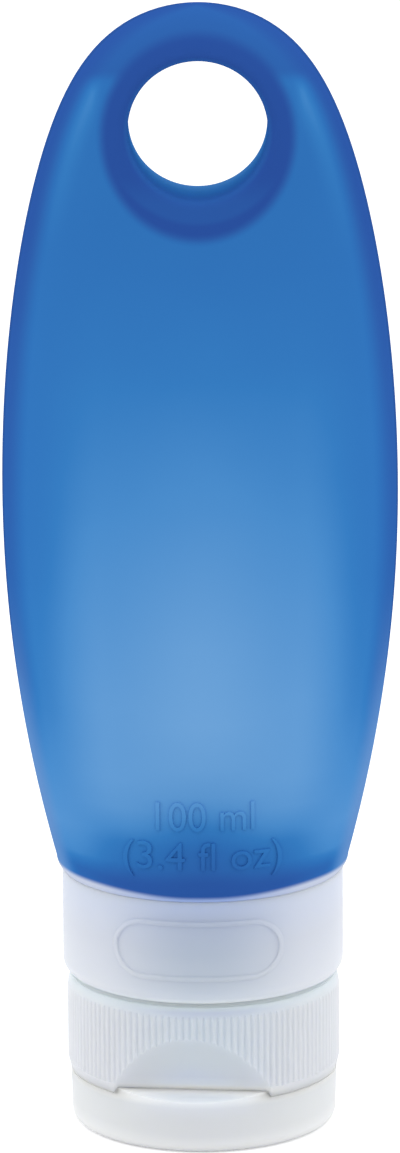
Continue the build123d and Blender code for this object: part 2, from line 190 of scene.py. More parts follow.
# The cap is a little bluer at the front. Painted light makes it paler beside its two seams, where shade would
# fall, and at the front by the thumb ledge; at the front, just below the top seam, it is a little darker and
# bluer.
CAP_FRONT = (
    (0.0075, 250, 252, 255), (0.0079, 232, 238, 248), (0.0083, 252, 253, 255),
    (0.0087, 250, 252, 255), (0.0093, 222, 229, 242), (0.0105, 211, 219, 235),
    (0.013, 212, 222, 236), (0.0195, 210, 220, 234), (0.0205, 198, 208, 232),
    (0.0213, 222, 238, 255),
)
CAP_SIDES = (
    (0.0075, 245, 247, 250), (0.0079, 219, 222, 230), (0.0195, 216, 220, 228),
    (0.0213, 222, 236, 252),
)
# The lid is the palest piece, partly because it is thin and empty and partly with painted light from the floor.
# Painted light also brightens its foot and its seam under the cap, where shade would fall, and makes the thumb
# ledge bright.
LID_FRONT = (
    (0.0, 236, 238, 243), (0.0008, 240, 242, 246), (0.0025, 228, 231, 238),
    (0.0066, 223, 227, 235), (0.0074, 228, 233, 239), (0.0079, 222, 228, 234),
    (0.0082, 240, 244, 248), (0.0084, 255, 255, 255),
)
LID_SIDES = (
    (0.0, 236, 238, 242), (0.0008, 240, 242, 245), (0.0030, 228, 231, 235),
    (0.0066, 225, 229, 234), (0.0074, 244, 246, 248),
)
# Each white piece's node, material, radius of its softened edges, and colours.
WHITE_PIECES = (
    ("neck_collar", "collar_plastic", 0.0003, COLLAR_FRONT, COLLAR_SIDES),
    ("screw_cap", "cap_plastic", 0.0002, CAP_FRONT, CAP_SIDES),
    ("flip_lid", "lid_plastic", 0.0001, LID_FRONT, LID_SIDES),
)

# The hidden pieces' clouding.
HIDDEN_CLOUD_SCALE = 120.0
HIDDEN_DARKENING = 0.9

# The stage: each lamp's name, place, target, size and power, then the camera's and floor's limits.
LAMPS = (
    ("left_lamp", (-0.9, 0.1, 0.35), (0, 0, 0.08), 0.7, 1.8),
    ("right_lamp", (0.9, 0.1, 0.35), (0, 0, 0.08), 0.7, 1.8),
    ("top_lamp", (0, -0.2, 1.1), (0, 0, 0.05), 0.8, 2.25),
)
NEAREST, FURTHEST = 0.01, 20.0
FLOOR_SIZE = 8.0
FLOOR_MIDDLE = (0, 1.0, 0)
FLOOR_COLOUR = (0.8, 0.8, 0.8, 1.0)
FLOOR_GLOW = 0.42


def srgb(red, green, blue):
    """A colour written in the usual 0 to 255, as Blender's linear values."""
    def linear(value):
        share = value / 255
        return share / 12.92 if share <= 0.04045 else ((share + 0.055) / 1.055) ** 2.4
    return (linear(red), linear(green), linear(blue), 1.0)


def metres(name, description, default):
    return FloatProperty(
        name=name, description=description, default=default, unit="LENGTH", precision=5
    )


def tint(name, description, default):
    return FloatVectorProperty(
        name=name, description=description, default=default, size=4, subtype="COLOR",
        min=0.0, max=1.0,
    )


class BodySettings(bpy.types.PropertyGroup):
    """Shape and colours of the soft body."""
    belly_height: metres("Belly height", "Height of the widest place", 0.090)
    full_depth_height: metres("Full depth height", "Height of the deepest place", 0.048)
    web_height: metres("Web height", "Height where the side outline has become flat", 0.138)
    web_half_depth: metres("Web half depth", "Half the thickness of the flat end", 0.006)
    shoulder_radius: metres("Shoulder radius", "Radius over the collar", 0.02035)
    shoulder_round: metres("Shoulder round", "Height of the shoulder's rounded edge", 0.0016)
    shoulder_inset: metres("Shoulder inset", "How far the rounded edge draws in", 0.00075)
    foot_tuck: metres("Foot tuck", "How far the foot hugs the collar's rounded edge", 0.0002)
    foot_rise: metres("Foot rise", "How much higher the foot's glow is at the sides", 0.0007)
    wall: metres("Wall", "Thickness of the silicone wall", 0.002)
    lip_round: metres("Lip round", "Rounding of the hang hole's lips", 0.0012)
    ring_radius: metres("Ring radius", "Outer radius of the solid ring round the hole", 0.014)
    horn_height: metres("Horn height", "Highest place of the cavity", 0.1472)
    neck_skin_radius: metres("Neck skin radius", "Outer radius of the skin in the collar", 0.017)
    neck_skin_bore: metres("Neck skin bore", "Inner radius of the skin in the collar", 0.0147)
    neck_flare_height: metres("Neck flare height", "Height of the flare over the neck", 0.004)
    segments: IntProperty(name="Segments", description="Corners of each ring", default=176, min=16)
    # From deepest to pale: darker where the silicone is thick, paler where painted light stands for light coming
    # through it.
    deepest: tint("Deepest", "Colour where the silicone is thickest", srgb(42, 79, 158))
    deep: tint("Deep", "Colour of the thick edges", srgb(46, 95, 170))
    middle: tint("Middle", "Colour of the flat upper walls", srgb(48, 113, 185))
    clear: tint("Clear", "Colour of the thinner upper walls", srgb(54, 124, 193))
    light: tint("Light", "Colour where light starts to come through", srgb(74, 140, 204))
    pale: tint("Pale", "Colour where the most light comes through", srgb(110, 165, 219))
    # Painted shade along the very edge, where it is seen against the light.
    outline: tint("Outline", "Colour of the very edge against the light", srgb(40, 80, 148))
    # Painted light: the low edges paler, as if lit from below.
    painted_low_light: tint("Haze", "Colour of the low edges, lit from below", srgb(106, 145, 201))
    # Painted light: the foot lit by the white collar, paler at the sides.
    glow: tint("Glow", "Colour of the foot, lit by the white collar", srgb(162, 184, 232))
    side_glow: tint("Side glow", "The same at the sides", srgb(204, 212, 232))


class FigureSettings(bpy.types.PropertyGroup):
    """The raised capacity figures over the collar."""
    upper_text: StringProperty(
        name="Upper line", description="Capacity in millilitres", default="100 ml"
    )
    lower_text: StringProperty(
        name="Lower line", description="Capacity in ounces", default="(3.4 fl oz)"
    )
    upper_width: metres("Upper width", "Width of the upper line", 0.0134)
    lower_width: metres("Lower width", "Width of the lower line", 0.0216)
    upper_height: metres("Upper height", "Height of the upper line's foot", 0.0473)
    lower_height: metres("Lower height", "Height of the lower line's foot", 0.0416)
    size: metres("Size", "Height of the letters' body", 0.0058)
    relief: metres("Relief", "How far the figures stand out", 0.00022)


class HingeSettings(bpy.types.PropertyGroup):
    """The two thin films of the living hinge."""
    film_width: metres("Film width", "Width of each film", 0.005)
    film_spacing: metres("Film spacing", "From the middle of one film to the next", 0.0074)
    film_thickness: metres("Film thickness", "Thickness of the films", 0.0003)
    film_cuts: IntProperty(name="Film cuts", description="Cuts across each film", default=9, min=1)


class StageSettings(bpy.types.PropertyGroup):
    """The camera and the even light."""
    camera_distance: metres("Camera distance", "From the bottle's axis to the camera", 0.9849)
    camera_height: metres("Camera height", "Camera's height over the floor", 0.3257)
    camera_aside: metres("Camera aside", "How far the camera stands to the right", -0.0001)
    camera_pitch: FloatProperty(
        name="Camera pitch", description="How far the camera looks down",
        default=radians(14.129), subtype="ANGLE",
    )
    camera_roll: FloatProperty(
        name="Camera roll", description="How far the camera leans",
        default=radians(0.386), subtype="ANGLE",
    )
    lens: FloatProperty(name="Lens", description="Focal length in millimetres", default=229.5)
    world_level: FloatProperty(
        name="World level", description="Strength of the even light", default=0.90
    )


def clear_selection():
    """Leaves edit mode with nothing selected, so that the next primitive stands alone."""
    if bpy.context.mode != "OBJECT":
        bpy.ops.object.mode_set(mode="OBJECT")
    bpy.ops.object.select_all(action="DESELECT")


def make_active(piece):
    clear_selection()
    piece.select_set(True)
    bpy.context.view_layer.objects.active = piece


def apply_modifiers(piece):
    make_active(piece)
    for modifier in list(piece.modifiers):
        bpy.ops.object.modifier_apply(modifier=modifier.name)


def select_parts(piece, kind, test):
    """In edit mode, selects just those of the piece's edges or faces that pass the test."""
    bpy.ops.mesh.select_mode(type={"edges": "EDGE", "faces": "FACE"}[kind])
    bpy.ops.mesh.select_all(action="DESELECT")
    mesh = bmesh.from_edit_mesh(piece.data)
    for part in getattr(mesh, kind):
        part.select_set(test(part))
    mesh.select_flush_mode()
    bmesh.update_edit_mesh(piece.data)


def edge_middle(edge):
    return (edge.verts[0].co + edge.verts[1].co) / 2


def turn_faces_outwards():
    """In edit mode, for the whole piece."""
    bpy.ops.mesh.select_all(action="SELECT")
    bpy.ops.mesh.normals_make_consistent(inside=False)


def stack_rings(name, rings, segments):
    """A closed form drawn up ring by ring, each an ellipse of (half width, half depth, height)."""
    clear_selection()
    half_width, half_depth, height = rings[0]
    bpy.ops.mesh.primitive_circle_add(
        vertices=segments, radius=1, fill_type="NGON", location=(0, 0, height)
    )
    piece = bpy.context.object
    piece.name = name
    bpy.ops.object.transform_apply()
    bpy.ops.object.mode_set(mode="EDIT")
    bpy.ops.mesh.select_mode(type="EDGE")
    bpy.ops.mesh.select_all(action="SELECT")
    bpy.ops.transform.resize(value=(half_width, half_depth, 1), center_override=(0, 0, height))
    for lower, upper in zip(rings, rings[1:]):
        bpy.ops.mesh.extrude_edges_move(
            TRANSFORM_OT_translate={"value": (0, 0, upper[2] - lower[2])}
        )
        bpy.ops.transform.resize(
            value=(upper[0] / lower[0], upper[1] / lower[1], 1), center_override=(0, 0, upper[2])
        )
    bpy.ops.mesh.edge_face_add()
    turn_faces_outwards()
    bpy.ops.object.mode_set(mode="OBJECT")
    return piece


def cross_cylinder(name, radius, segments):
    """A cylinder round the hang hole's axis, long enough to pass through the whole body."""
    clear_selection()
    bpy.ops.mesh.primitive_cylinder_add(
        vertices=segments, radius=radius, depth=4 * body_high.y, location=HOLE_CENTRE,
        rotation=(pi / 2, 0, 0),
    )
    cylinder = bpy.context.object
    cylinder.name = name
    bpy.ops.object.transform_apply()
    return cylinder


def cut_away(piece, cutter):
    """Takes the cutter out of the piece and removes the cutter."""
    cut = piece.modifiers.new("cut", "BOOLEAN")
    cut.operation = "DIFFERENCE"
    cut.solver = "EXACT"
    cut.object = cutter
    apply_modifiers(piece)
    bpy.data.objects.remove(cutter)


def smooth(piece):
    make_active(piece)
    bpy.ops.object.shade_smooth_by_angle(angle=SMOOTH_ANGLE)


class Nodes:
    """Adds nodes to one tree, with a link wherever an input is given a socket."""

    def __init__(self, tree):
        self.tree = tree
        tree.nodes.clear()

    def add(self, kind, inputs=None, **settings):
        node = self.tree.nodes.new(kind)
        for key, value in settings.items():
            setattr(node, key, value)
        for key, value in (inputs or {}).items():
            if isinstance(value, bpy.types.NodeSocket):
                self.tree.links.new(value, node.inputs[key])
            else:
                node.inputs[key].default_value = value
        return node

    def maths(self, operation, first, second=0.0):
        node = self.add("ShaderNodeMath", {0: first, 1: second}, operation=operation)
        return node.outputs[0]

    def rise(self, value, start, end, smoothly=True):
        """0 where the value is at the start and 1 where it is at the end. Either may be larger."""
        inputs = {"Value": value, "From Min": min(start, end), "From Max": max(start, end)}
        if start > end:
            inputs.update({"To Min": 1.0, "To Max": 0.0})
        kind = "SMOOTHSTEP" if smoothly else "LINEAR"
        return self.add("ShaderNodeMapRange", inputs, interpolation_type=kind).outputs["Result"]

    def mix_values(self, factor, first, second):
        node = self.add("ShaderNodeMix", {0: factor, 2: first, 3: second}, data_type="FLOAT")
        return node.outputs[0]

    def mix_colours(self, factor, first, second):
        node = self.add("ShaderNodeMix", {0: factor, 6: first, 7: second}, data_type="RGBA")
        return node.outputs[2]

    def ramp(self, factor, stops):
        """A ramp through stops of (place, colour), or of (place, value)."""
        node = self.add("ShaderNodeValToRGB", {"Fac": factor})
        elements = node.color_ramp.elements
        while len(elements) < len(stops):
            elements.new(1.0)
        for element, (place, value) in zip(elements, stops):
            element.position = place
            element.color = value if hasattr(value, "__len__") else (value, value, value, 1.0)
        return node.outputs["Color"]

    def place(self):
        """The object's own coordinates: their vector and its three parts."""
        vector = self.add("ShaderNodeTexCoord").outputs["Object"]
        parts = self.add("ShaderNodeSeparateXYZ", {"Vector": vector}).outputs
        return vector, parts["X"], parts["Y"], parts["Z"]

    def clouds(self, vector, scale, detail=2.0):
        inputs = {"Vector": vector, "Scale": scale, "Detail": detail}
        return self.add("ShaderNodeTexNoise", inputs).outputs["Fac"]


def new_material(name):
    material = bpy.data.materials.new(name)
    material.use_nodes = True
    return material, Nodes(material.node_tree)


def finish_material(nodes, colour, roughness, **sockets):
    """The surface shader and the output, with the sockets' names in words joined by underscores."""
    inputs = {"Base Color": colour, "Roughness": roughness}
    inputs.update({key.replace("_", " "): value for key, value in sockets.items()})
    shader = nodes.add("ShaderNodeBsdfPrincipled", inputs)
    nodes.add("ShaderNodeOutputMaterial", {"Surface": shader.outputs["BSDF"]})


def grain(nodes, vector, scale, strength, distance, normal=None):
    """Fine moulded texture as a bump."""
    height = nodes.clouds(vector, scale, detail=3.0)
    inputs = {"Strength": strength, "Distance": distance, "Height": height}
    if normal is not None:
        inputs["Normal"] = normal
    return nodes.add("ShaderNodeBump", inputs).outputs["Normal"]


def hollow_depth_and_painted_light(nodes, z, aside, inwards):
    """The hollow walls' shade, partly their thickness and partly painted light coming through them: by height down
    the middle and the flanks, paler in a streak beside the ring, and deeper at the rim, where the walls turn
    edge-on and the shade is partly painted.
    """
    span = body_high.z - collar_high.z
    level = nodes.rise(z, collar_high.z, body_high.z, smoothly=False)
    centre, half_way, flank, rim, streak = (
        nodes.ramp(level, [((height - collar_high.z) / span, shade) for height, shade in shades])
        for shades in (CENTRE_SHADES, HALF_WAY_SHADES, FLANK_SHADES, RIM_SHADES, STREAK_SHADES)
    )
    half_width = nodes.maths("ADD", nodes.maths("ADD", aside, inwards), NOT_ZERO)
    sideways = nodes.maths("DIVIDE", aside, half_width)
    depth = nodes.mix_values(nodes.rise(sideways, *HALF_WAY_BY_SHARE), centre, half_way)
    depth = nodes.mix_values(nodes.rise(sideways, *FLANK_BY_SHARE), depth, flank)
    for part in (nodes.rise(inwards, *STREAK_BY_INSET), nodes.rise(aside, *STREAK_BY_ASIDE)):
        streak = nodes.maths("MULTIPLY", streak, part)
    depth = nodes.maths("ADD", depth, streak)
    return nodes.mix_values(nodes.rise(inwards, *RIM_BY_INSET), depth, rim)


def hole_depth_and_painted_light(nodes, vector, y, z, depth, settings):
    """The same shade with the solid ring, the place under the hole and the hole's wall put in; the wall carries
    painted light, paler towards the back.
    """
    def distance(centre, stretch):
        """Distance from a line along Y through the centre, with X stretched."""
        past = nodes.add("ShaderNodeVectorMath", {0: vector, 1: centre}, operation="SUBTRACT")
        flat = nodes.add(
            "ShaderNodeVectorMath", {0: past.outputs[0], 1: (stretch, 0, 1)}, operation="MULTIPLY"
        )
        length = nodes.add("ShaderNodeVectorMath", {0: flat.outputs[0]}, operation="LENGTH")
        return length.outputs["Value"]

    from_ring = distance(HOLE_CENTRE - Vector((0, 0, RING_DROP)), RING_STRETCH)
    ring = nodes.rise(from_ring, *(settings.ring_radius + past for past in RING_BY_RADIUS))
    depth = nodes.mix_values(ring, depth, RING_SHADE)
    from_hole = distance(HOLE_CENTRE, 1.0)
    under = nodes.rise(z, *(HOLE_CENTRE.z - drop * HOLE_RADIUS for drop in UNDER_HOLE_DROPS))
    near = nodes.rise(from_hole, *(HOLE_RADIUS + past for past in UNDER_HOLE_BY_RADIUS))
    depth = nodes.mix_values(nodes.maths("MULTIPLY", under, near), depth, UNDER_HOLE_SHADE)
    # Painted light: the hole's wall turns paler from the front towards the back.
    through = nodes.rise(y, -settings.web_half_depth, settings.web_half_depth)
    wall = nodes.rise(from_hole, *(HOLE_RADIUS + past for past in HOLE_WALL_BY_RADIUS))
    return nodes.mix_values(wall, depth, nodes.mix_values(through, *HOLE_WALL_PAINTED_SHADES))


def silicone_material(settings):
    """Translucent blue silicone with painted light: paler where light would come through, deeper where it is
    thick, with painted light on the low edges and the foot and painted shade along the outline.
    """
    material, nodes = new_material("blue_silicone")
    vector, x, y, z = nodes.place()
    inwards = nodes.add("ShaderNodeAttribute", attribute_name="edge_distance").outputs["Fac"]
    aside = nodes.maths("ABSOLUTE", x)
    depth = hollow_depth_and_painted_light(nodes, z, aside, inwards)
    depth = hole_depth_and_painted_light(nodes, vector, y, z, depth, settings)
    unevenness = nodes.maths("SUBTRACT", nodes.clouds(vector, CLOUD_SCALE), CLOUD_MEAN)
    depth = nodes.maths("ADD", depth, nodes.maths("MULTIPLY", unevenness, CLOUD_STRENGTH))
    colour = nodes.ramp(depth, [(place, getattr(settings, name)) for name, place in COLOUR_PLACES])

    # Painted light: the low edges near the outline turn paler, as if lit from below.
    low = nodes.rise(z, *PAINTED_LOW_LIGHT_BY_HEIGHT)
    painted_low_light = nodes.maths("MULTIPLY", nodes.rise(inwards, *PAINTED_LOW_LIGHT_BY_INSET), low)
    painted_low_light = nodes.maths("MULTIPLY", painted_low_light, PAINTED_LOW_LIGHT_STRENGTH)
    colour = nodes.mix_colours(painted_low_light, colour, settings.painted_low_light)
    # Painted shade: a thin dark line along the front outline, higher up the body.
    high = nodes.rise(z, *PAINTED_EDGE_SHADE_BY_HEIGHT)
    edge = nodes.maths("MULTIPLY", nodes.rise(inwards, *PAINTED_EDGE_SHADE_BY_INSET), high)
    edge = nodes.maths("MULTIPLY", edge, PAINTED_EDGE_SHADE_STRENGTH)
    colour = nodes.mix_colours(edge, colour, settings.outline)

    # Painted light: the foot glows with light from the white collar, paler and reaching higher at the sides.
    flanking = nodes.rise(aside, *SIDE_GLOW_BY_ASIDE)
    lowered = nodes.maths("SUBTRACT", z, nodes.maths("MULTIPLY", flanking, settings.foot_rise))
    foot = nodes.rise(lowered, collar_high.z + FOOT_GLOW_HEIGHT, collar_high.z)
    glow = nodes.mix_colours(flanking, settings.glow, settings.side_glow)
    colour = nodes.mix_colours(foot, colour, glow)
    bump = grain(nodes, vector, scale=1800.0, strength=0.12, distance=0.00005)
    finish_material(nodes, colour, roughness=0.5, Specular_IOR_Level=0.0, Normal=bump)
    return material


def white_plastic_material(name, edge_radius, front_rows, side_rows):
    """Milky polypropylene, with colours by height at the front and at the sides, which carry painted light and
    shade as well as the plastic's own tint.
    """
    material, nodes = new_material(name)
    vector, x, _, z = nodes.place()
    level = nodes.rise(z, 0.0, collar_high.z, smoothly=False)
    front, side = (
        nodes.ramp(level, [(height / collar_high.z, srgb(*colour)) for height, *colour in rows])
        for rows in (front_rows, side_rows)
    )
    # Painted side light: the sides take the paler side rows, the front the bluer front rows.
    sideways = nodes.rise(nodes.maths("ABSOLUTE", x), *WHITE_SIDES_BY_ASIDE)
    colour = nodes.mix_colours(sideways, front, side)
    soft_edges = nodes.add("ShaderNodeBevel", {"Radius": edge_radius}, samples=6)
    bump = grain(
        nodes, vector, scale=1500.0, strength=0.08, distance=0.00004,
        normal=soft_edges.outputs["Normal"],
    )
    finish_material(
        nodes, colour, roughness=0.45, Specular_IOR_Level=0.2, Normal=bump,
        Subsurface_Weight=1.0, Subsurface_Radius=(1.0, 1.0, 1.1), Subsurface_Scale=0.0025,
    )
    return material


def plain_material(name, colour, roughness, scale, strength):
    """A hidden piece's finish: its colour, slightly clouded, with a moulded grain."""
    material, nodes = new_material(name)
    vector = nodes.place()[0]
    darker = tuple(part * HIDDEN_DARKENING for part in colour[:3]) + (1.0,)
    clouded = nodes.mix_colours(nodes.clouds(vector, HIDDEN_CLOUD_SCALE), darker, colour)
    bump = grain(nodes, vector, scale, strength, distance=0.00005)
    finish_material(nodes, clouded, roughness, Normal=bump)
    return material


def paint(piece, material):
    piece.data.materials.clear()
    piece.data.materials.append(material)


def heel_height(settings):
    """Height where the shoulder's rounded edge runs into the body's sides."""
    return collar_high.z + settings.shoulder_round


def body_half_width(settings, height):
    """The front outline: a shallow arc up to the belly, then a blunt half ellipse."""
    widest = body_high.x
    if height < settings.belly_height:
        span = settings.belly_height - heel_height(settings)
        fall = (settings.belly_height - height) / span
        return widest - (widest - settings.shoulder_radius) * fall**2
    rise = (height - settings.belly_height) / (BODY_TOP - settings.belly_height)
    return widest * sqrt(max(1 - (1 - TIP_SHARE) * rise**2 - TIP_SHARE * rise**TIP_POWER, 0))


def body_half_depth(settings, height):
    """The side outline: full over the collar, drawn flat to the web round the hang hole."""
    fullest, flat = body_high.y, settings.web_half_depth
    if height < settings.full_depth_height:
        span = settings.full_depth_height - heel_height(settings)
        fall = (settings.full_depth_height - height) / span
        return fullest - (fullest - settings.shoulder_radius) * fall**2
    if height < settings.web_height:
        span = settings.web_height - settings.full_depth_height
        way = (height - settings.full_depth_height) / span
        return flat + (fullest - flat) * (1 + cos(pi * way)) / 2
    rise = (height - settings.web_height) / (BODY_TOP - settings.web_height)
    return flat * sqrt(max(1 - rise**WEB_POWER, 0))


def inside(settings, outline, height):
    """An outline drawn in by the wall, measured square to the surface."""
    step = settings.wall / 4
    slope = (outline(settings, height + step) - outline(settings, height - step)) / (2 * step)
    return outline(settings, height) - settings.wall * sqrt(1 + slope**2)


def climb(low, high, count):
    """Heights that lie closer together towards the top."""
    return [low + (high - low) * sin(pi / 2 * step / count) for step in range(count + 1)]


def outer_rings(settings):
    neck = settings.neck_skin_radius
    heel = heel_height(settings)
    inset = settings.shoulder_inset
    tuck = settings.shoulder_radius - inset - settings.foot_tuck
    rings = [
        (neck, neck, body_low.z), (neck, neck, collar_high.z),
        (tuck, tuck, collar_high.z - settings.foot_tuck),
    ]
    arc_radius = (inset**2 + settings.shoulder_round**2) / (2 * inset)
    sweep = asin(settings.shoulder_round / arc_radius)
    for step in range(SHOULDER_STEPS + 1):
        turn = sweep * (1 - step / SHOULDER_STEPS)
        radius = settings.shoulder_radius - arc_radius * (1 - cos(turn))
        rings.append((radius, radius, heel - arc_radius * sin(turn)))
    rise = settings.belly_height - heel
    heights = [heel + rise * step / LOWER_STEPS for step in range(1, LOWER_STEPS)]
    heights += climb(settings.belly_height, body_high.z, UPPER_STEPS)
    return rings + [
        (body_half_width(settings, height), body_half_depth(settings, height), height)
        for height in heights
    ]


def cavity_rings(settings):
    bore = settings.neck_skin_bore
    rings = [(bore, bore, body_low.z - settings.wall), (bore, bore, collar_high.z)]
    flare = collar_high.z + settings.neck_flare_height
    for height in climb(flare, settings.horn_height, CAVITY_STEPS):
        half_width = inside(settings, body_half_width, height)
        half_depth = inside(settings, body_half_depth, height)
        rings.append((half_width, half_depth, height))
    return rings


def round_lip(piece, settings, side):
    """Rolls one rim of the hang hole inwards. Side is -1 for the front rim and 1 for the back."""
    reach = HOLE_RADIUS + settings.lip_round
    select_parts(piece, "edges", lambda edge: edge.is_boundary and edge_middle(edge).y * side > 0)
    radius, drop = reach, 0.0
    for step in range(1, LIP_STEPS + 1):
        turn = pi / 2 * step / LIP_STEPS
        new_radius = reach - settings.lip_round * sin(turn)
        new_drop = settings.lip_round * (1 - cos(turn))
        bpy.ops.mesh.extrude_edges_move(
            TRANSFORM_OT_translate={"value": (0, -side * (new_drop - drop), 0)}
        )
        share = new_radius / radius
        bpy.ops.transform.resize(value=(share, 1, share), center_override=HOLE_CENTRE)
        radius, drop = new_radius, new_drop


def bore_hang_hole(piece, settings):
    """Opens the hole, rolls its two lips and joins them by the hole's wall."""
    reach = HOLE_RADIUS + settings.lip_round
    cut_away(piece, cross_cylinder("hole_cutter", reach, HOLE_SEGMENTS))
    bpy.ops.object.mode_set(mode="EDIT")

    def is_wall(face):
        middle = face.calc_center_median() - HOLE_CENTRE
        return hypot(middle.x, middle.z) < reach * WALL_REACH and abs(face.normal.y) < WALL_TILT

    select_parts(piece, "faces", is_wall)
    bpy.ops.mesh.delete(type="FACE")
    round_lip(piece, settings, -1)
    round_lip(piece, settings, 1)
    select_parts(piece, "edges", lambda edge: edge.is_boundary)
    bpy.ops.mesh.bridge_edge_loops(number_cuts=HOLE_WALL_CUTS)
    turn_faces_outwards()
    bpy.ops.object.mode_set(mode="OBJECT")


def store_edge_distance(piece, settings):
    """Keeps on each vertex how far in from the front outline it lies, for the material's rim shade and the painted
    light and shade along the edges.
    """
    attribute = piece.data.attributes.new("edge_distance", "FLOAT", "POINT")
    values = [
        max(body_half_width(settings, vertex.co.z) - abs(vertex.co.x), 0.0)
        for vertex in piece.data.vertices
    ]
    attribute.data.foreach_set("value", values)


class BOTTLE_OT_soft_body(bpy.types.Operator):
    """Models the silicone body with its cavity, its hang hole and its neck skin"""
    bl_idname = "bottle.soft_body"
    bl_label = "Soft body"

    def execute(self, context):
        settings = context.scene.bottle_body
        body = stack_rings("soft_body", outer_rings(settings), settings.segments)
        bore_hang_hole(body, settings)
        cavity = stack_rings("cavity", cavity_rings(settings), settings.segments // 2)
        cut_away(cavity, cross_cylinder("ring", settings.ring_radius, RING_SEGMENTS))
        cut_away(body, cavity)
        store_edge_distance(body, settings)
        paint(body, silicone_material(settings))
        smooth(body)
        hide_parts("bottle_body")
        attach(body, "bottle")
        return {"FINISHED"}


def raised_line(name, text, width, foot, settings, body):
    """One line of figures wrapped on the body's front."""
    clear_selection()
    bpy.ops.object.text_add(rotation=(pi / 2, 0, 0), location=(0, -2 * body_high.y, foot))
    line = bpy.context.object
    line.name = name
    line.data.body = text
    line.data.align_x = "CENTER"
    line.data.size = settings.size
    line.data.resolution_u = LETTER_RESOLUTION
    bpy.ops.object.convert(target="MESH")
    bpy.ops.object.transform_apply()
    sides = [vertex.co.x for vertex in line.data.vertices]
    share = width / (max(sides) - min(sides))
    bpy.ops.object.mode_set(mode="EDIT")
    bpy.ops.mesh.select_all(action="SELECT")
    bpy.ops.transform.resize(value=(share, 1, 1), center_override=(0, 0, foot))
    bpy.ops.mesh.remove_doubles(threshold=LETTER_MERGE)
    bpy.ops.mesh.quads_convert_to_tris()
    bpy.ops.mesh.subdivide(number_cuts=LETTER_CUTS)
    bpy.ops.object.mode_set(mode="OBJECT")
    wrap = line.modifiers.new("wrap", "SHRINKWRAP")
    wrap.target = body
    wrap.wrap_method = "PROJECT"
    wrap.use_project_y = True
    wrap.use_positive_direction = True
    thicken = line.modifiers.new("thicken", "SOLIDIFY")
    thicken.thickness = 2 * settings.relief
    thicken.offset = 0.0
    soften = line.modifiers.new("soften", "BEVEL")
    soften.width = settings.relief * LETTER_ROUND_SHARE
    soften.segments = LETTER_ROUND_STEPS
    soften.limit_method = "ANGLE"
    soften.angle_limit = LETTER_ROUND_ANGLE
    apply_modifiers(line)
    return line


class BOTTLE_OT_figures(bpy.types.Operator):
    """Raises the capacity figures on the front of the body"""
    bl_idname = "bottle.figures"
    bl_label = "Capacity figures"

    def execute(self, context):
        settings = context.scene.bottle_figures
        body = bpy.data.objects["soft_body"]
        lines = (
            ("figures_upper", settings.upper_text, settings.upper_width, settings.upper_height),
            ("figures_lower", settings.lower_text, settings.lower_width, settings.lower_height),
        )
        for name, text, width, foot in lines:
            line = raised_line(name, text, width, foot, settings, body)
            store_edge_distance(line, context.scene.bottle_body)
            paint(line, bpy.data.materials["blue_silicone"])
            smooth(line)
            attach(line, "bottle")
        return {"FINISHED"}


class BOTTLE_OT_white_parts(bpy.types.Operator):
    """Gives the collar, the cap and the lid their milky plastic"""
    bl_idname = "bottle.white_parts"
    bl_label = "Collar, cap and lid"

    def execute(self, context):
        for node, *look in WHITE_PIECES:
            paint(frame["nodes"][node], white_plastic_material(*look))
        return {"FINISHED"}


def hinge_film(name, centre, turn, settings):
    """One film, cut across several times along its height."""
    clear_selection()
    bpy.ops.mesh.primitive_cube_add(
        size=1, location=centre, rotation=(0, 0, turn),
        scale=(settings.film_width, settings.film_thickness, film_high.z - film_low.z),
    )
    film = bpy.context.object
    film.name = name
    bpy.ops.object.transform_apply()
    bpy.ops.object.mode_set(mode="EDIT")

    def is_upright(edge):
        return abs(edge.verts[0].co.z - edge.verts[1].co.z) > UPRIGHT_RISE

    select_parts(film, "edges", is_upright)
    bpy.ops.mesh.subdivide(number_cuts=settings.film_cuts)
    bpy.ops.object.mode_set(mode="OBJECT")
    return film


class BOTTLE_OT_living_hinge(bpy.types.Operator):
    """Models the two films that bend between the cap and the lid"""
    bl_idname = "bottle.living_hinge"
    bl_label = "Living hinge"

    def execute(self, context):
        settings = context.scene.bottle_hinge
        axis = Vector(lid_joint["axis"])
        turn = atan2(axis.y, axis.x)
        outwards = Vector((-sin(turn), cos(turn), 0))
        middle = Vector(lid_joint["pos_m"]) - outwards * settings.film_thickness / 2
        middle.z = (film_low.z + film_high.z) / 2
        step = axis * settings.film_spacing / 2
        hinge = hinge_film("living_hinge", middle - step, turn, settings)
        other = hinge_film("second_film", middle + step, turn, settings)
        make_active(hinge)
        other.select_set(True)
        bpy.ops.object.join()
        paint(hinge, bpy.data.materials["cap_plastic"])
        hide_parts("hinge_film")
        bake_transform(hinge)
        return {"FINISHED"}


class BOTTLE_OT_inner_parts(bpy.types.Operator):
    """Finishes the neck insert, the washer, the slit valve and its retainer"""
    bl_idname = "bottle.inner_parts"
    bl_label = "Inner parts"

    def execute(self, context):
        natural = plain_material(
            "natural_plastic", srgb(222, 226, 230), roughness=0.35, scale=1500.0, strength=0.08
        )
        foam = plain_material(
            "washer_foam", srgb(232, 232, 228), roughness=0.8, scale=4000.0, strength=0.5
        )
        clear = plain_material(
            "clear_silicone", srgb(226, 230, 234), roughness=0.25, scale=1500.0, strength=0.05
        )
        for name, material in (
            ("neck_insert", natural), ("valve_retainer", natural), ("neck_gasket", foam),
            ("slit_valve", clear),
        ):
            paint(frame["nodes"][name], material)
        return {"FINISHED"}


def seen_directly(nodes):
    """1 for what the camera, a reflection or a look through the material sees, and 0 for light."""
    path = nodes.add("ShaderNodeLightPath").outputs
    either = nodes.maths("MAXIMUM", path["Is Camera Ray"], path["Is Glossy Ray"])
    return nodes.maths("MAXIMUM", either, path["Is Transmission Ray"])


